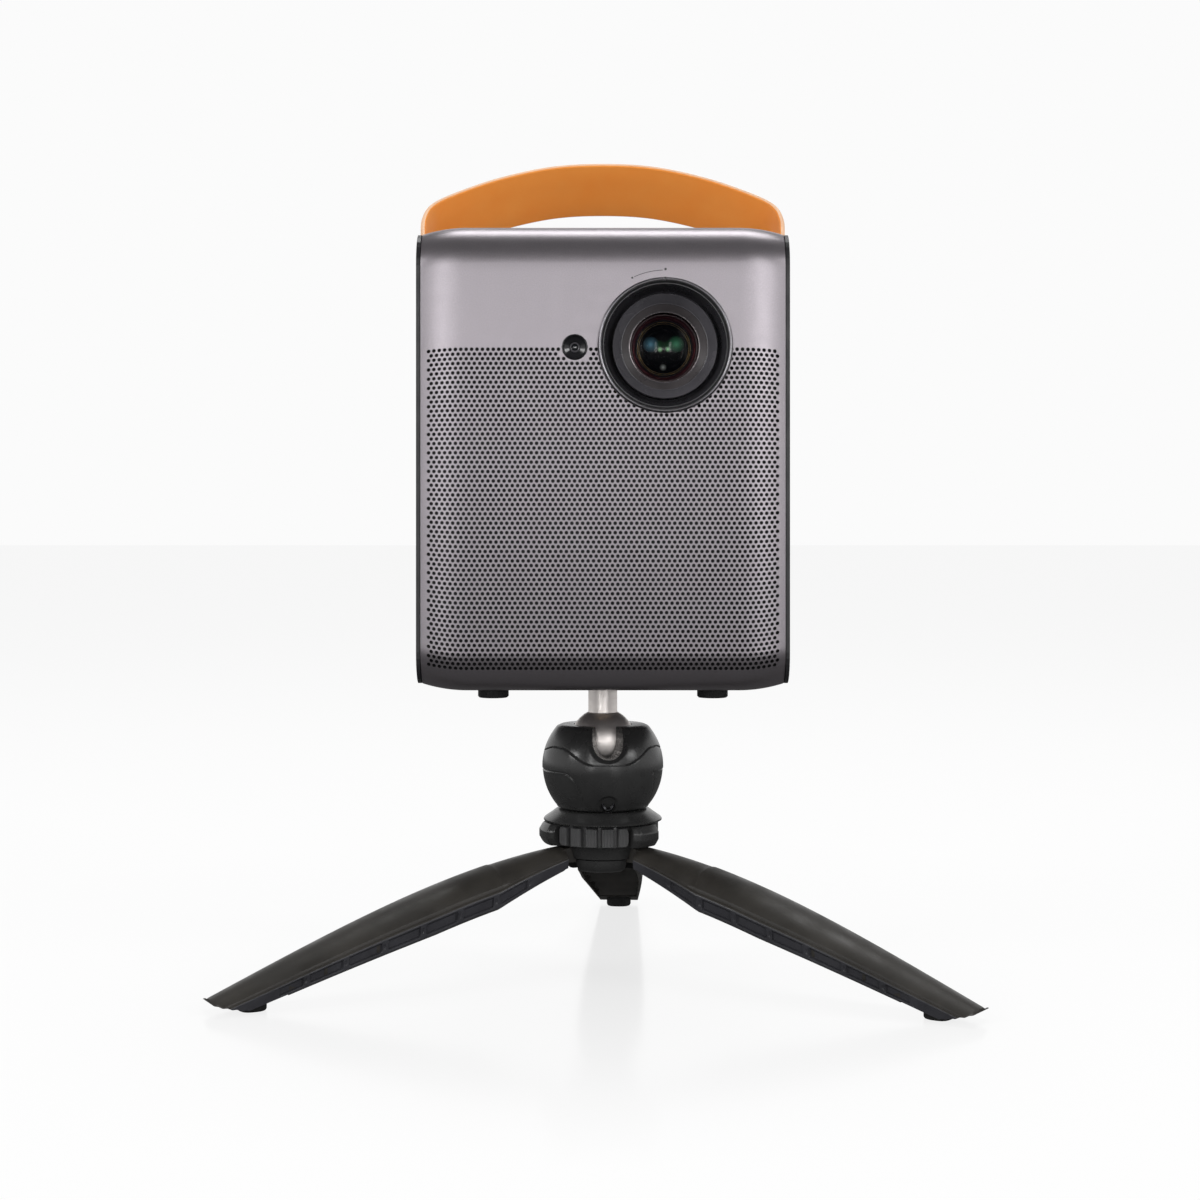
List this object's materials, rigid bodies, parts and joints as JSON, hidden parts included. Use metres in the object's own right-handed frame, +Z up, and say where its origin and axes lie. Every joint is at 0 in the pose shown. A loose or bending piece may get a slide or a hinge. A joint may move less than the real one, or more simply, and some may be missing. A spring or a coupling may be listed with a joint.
{
  "type": "home projector",
  "caption": "Portable home projector with a perforated metal sleeve and a leather strap, standing on a folding mini tripod with a ball head.",
  "frame": {"origin": "on the floor, at the middle of the open tripod's bounding box", "axes": "+Z up, +Y to the back of the projector, +X to the right as seen from the front"},
  "size_m": [0.3074, 0.2758, 0.358],
  "materials": {
    "sleeve_metal": "satin bead-blasted mauve-grey anodised metal",
    "case_plastic": "satin black moulded plastic",
    "frame_metal": "milled and pressed aluminium",
    "ring_metal": "dark grey anodised ring",
    "lens_gloss": "gloss black",
    "lens_black": "fine-turned grey-black barrel",
    "lens_glass": "coated optical glass",
    "coated_metal": "dark maroon coated retainer",
    "inner_plastic": "black moulded plastic",
    "board_green": "solder-masked circuit board",
    "cell_wrap": "shrink-wrapped cells",
    "copper": "bare copper",
    "brass": "turned brass",
    "steel": "polished and brushed steel",
    "rubber": "matt black rubber",
    "strap_leather": "smooth tan leather with pale cut edges",
    "head_plastic": "semi-gloss black moulded plastic",
    "leg_plastic": "satin brown-black moulded plastic"
  },
  "bodies": {
    "hub": {"base_hub": "head_plastic", "base_plate": "head_plastic", "skirt": "head_plastic", "leg_pin_left": "steel", "leg_pin_right": "steel", "leg_pin_rear": "steel"},
    "lock_ring": {"lock_ring": "head_plastic"},
    "leg_left": {"leg_left": "leg_plastic", "leg_foot_left": "rubber"},
    "leg_right": {"leg_right": "leg_plastic", "leg_foot_right": "rubber"},
    "leg_rear": {"leg_rear": "leg_plastic", "leg_foot_rear": "rubber"},
    "ball_head": {"ball_housing": "head_plastic", "index_screw": "steel", "ball_seat": "inner_plastic", "seat_spring": "steel"},
    "ball": {"ball_stem": "steel"},
    "projector": {"sleeve": "sleeve_metal", "side_panel_left": "case_plastic", "side_panel_right": "case_plastic", "chassis": "frame_metal", "body_foot_front_left": "rubber", "body_foot_front_right": "rubber", "body_foot_rear_left": "rubber", "body_foot_rear_right": "rubber", "strap_rivet_left": "steel", "strap_rivet_right": "steel", "lens_hood": "lens_gloss", "lens_barrel": "lens_black", "front_element": "lens_glass", "element_retainer": "coated_metal", "inner_element": "lens_glass", "focus_motor": "steel", "camera_window": "lens_gloss", "camera_module": "inner_plastic", "optical_engine": "inner_plastic", "light_source": "frame_metal", "heat_pipe": "copper", "heat_sink": "frame_metal", "fan_frame": "inner_plastic", "main_board": "board_green", "power_board": "board_green", "battery_pack": "cell_wrap", "speaker_left": "inner_plastic", "speaker_right": "inner_plastic", "rear_panel": "case_plastic", "power_jack": "inner_plastic", "video_socket": "steel", "usb_socket": "steel", "audio_jack": "inner_plastic", "button_board": "board_green", "tripod_insert": "brass"},
    "handle": {"strap": "strap_leather"},
    "lens_ring": {"lens_ring": "ring_metal"},
    "focus_gear": {"focus_gear": "inner_plastic"},
    "motor_pinion": {"motor_pinion": "brass"},
    "fan": {"fan_impeller": "inner_plastic"},
    "power_button": {"power_button": "case_plastic"}
  },
  "joints": [
    {"name": "leg_left_fold", "type": "hinge", "parent": "hub", "child": "leg_left", "pos_m": [-0.00717, -0.04396, 0.0529], "axis": [0.454, -0.891, 0], "range_deg": [0, 70]},
    {"name": "leg_right_fold", "type": "hinge", "parent": "hub", "child": "leg_right", "pos_m": [0.01531, -0.04514, 0.0529], "axis": [0.5446, 0.8387, 0], "range_deg": [0, 70]},
    {"name": "leg_rear_fold", "type": "hinge", "parent": "hub", "child": "leg_rear", "pos_m": [0.00509, -0.02507, 0.0529], "axis": [-0.9986, 0.0523, 0], "range_deg": [0, 70]},
    {"name": "lock_ring_turn", "type": "hinge", "parent": "hub", "child": "lock_ring", "pos_m": [0.00441, -0.03805, 0.061], "axis": [0, 0, 1], "range_deg": [0, 120]},
    {"name": "head_pan", "type": "hinge", "parent": "hub", "child": "ball_head", "pos_m": [0.00441, -0.03805, 0.0716], "axis": [0, 0, 1], "continuous": true},
    {"name": "ball_tilt", "type": "hinge", "parent": "ball_head", "child": "ball", "pos_m": [0.00441, -0.03805, 0.0998], "axis": [0.9945, 0.1045, 0], "range_deg": [-30, 30]},
    {"name": "projector_turn", "type": "hinge", "parent": "ball", "child": "projector", "pos_m": [0.00441, -0.03805, 0.127], "axis": [0, 0, 1], "continuous": true},
    {"name": "handle_swing", "type": "hinge", "parent": "projector", "child": "handle", "pos_m": [0.00441, -0.03805, 0.29], "axis": [1, 0, 0], "range_deg": [0, 92]},
    {"name": "lens_ring_turn", "type": "hinge", "parent": "projector", "child": "lens_ring", "pos_m": [0.02931, -0.11306, 0.2663], "axis": [0, -1, 0], "range_deg": [0, 27]},
    {"name": "focus_turn", "type": "hinge", "parent": "projector", "child": "focus_gear", "pos_m": [0.02931, -0.08556, 0.2663], "axis": [0, -1, 0], "range_deg": [-60, 60]},
    {"name": "pinion_turn", "type": "hinge", "parent": "projector", "child": "motor_pinion", "pos_m": [0.00703, -0.08556, 0.24403], "axis": [0, -1, 0], "range_deg": [-240, 240]},
    {"name": "fan_spin", "type": "hinge", "parent": "projector", "child": "fan", "pos_m": [0.05941, -0.02806, 0.177], "axis": [1, 0, 0], "continuous": true},
    {"name": "power_button_press", "type": "slide", "parent": "projector", "child": "power_button", "axis": [0, -1, 0], "range_m": [0, 0.001], "stiffness_N_per_m": 400}
  ],
  "couplings": [
    {"joint": "pinion_turn", "follows": "focus_turn", "ratio": -4}
  ]
}
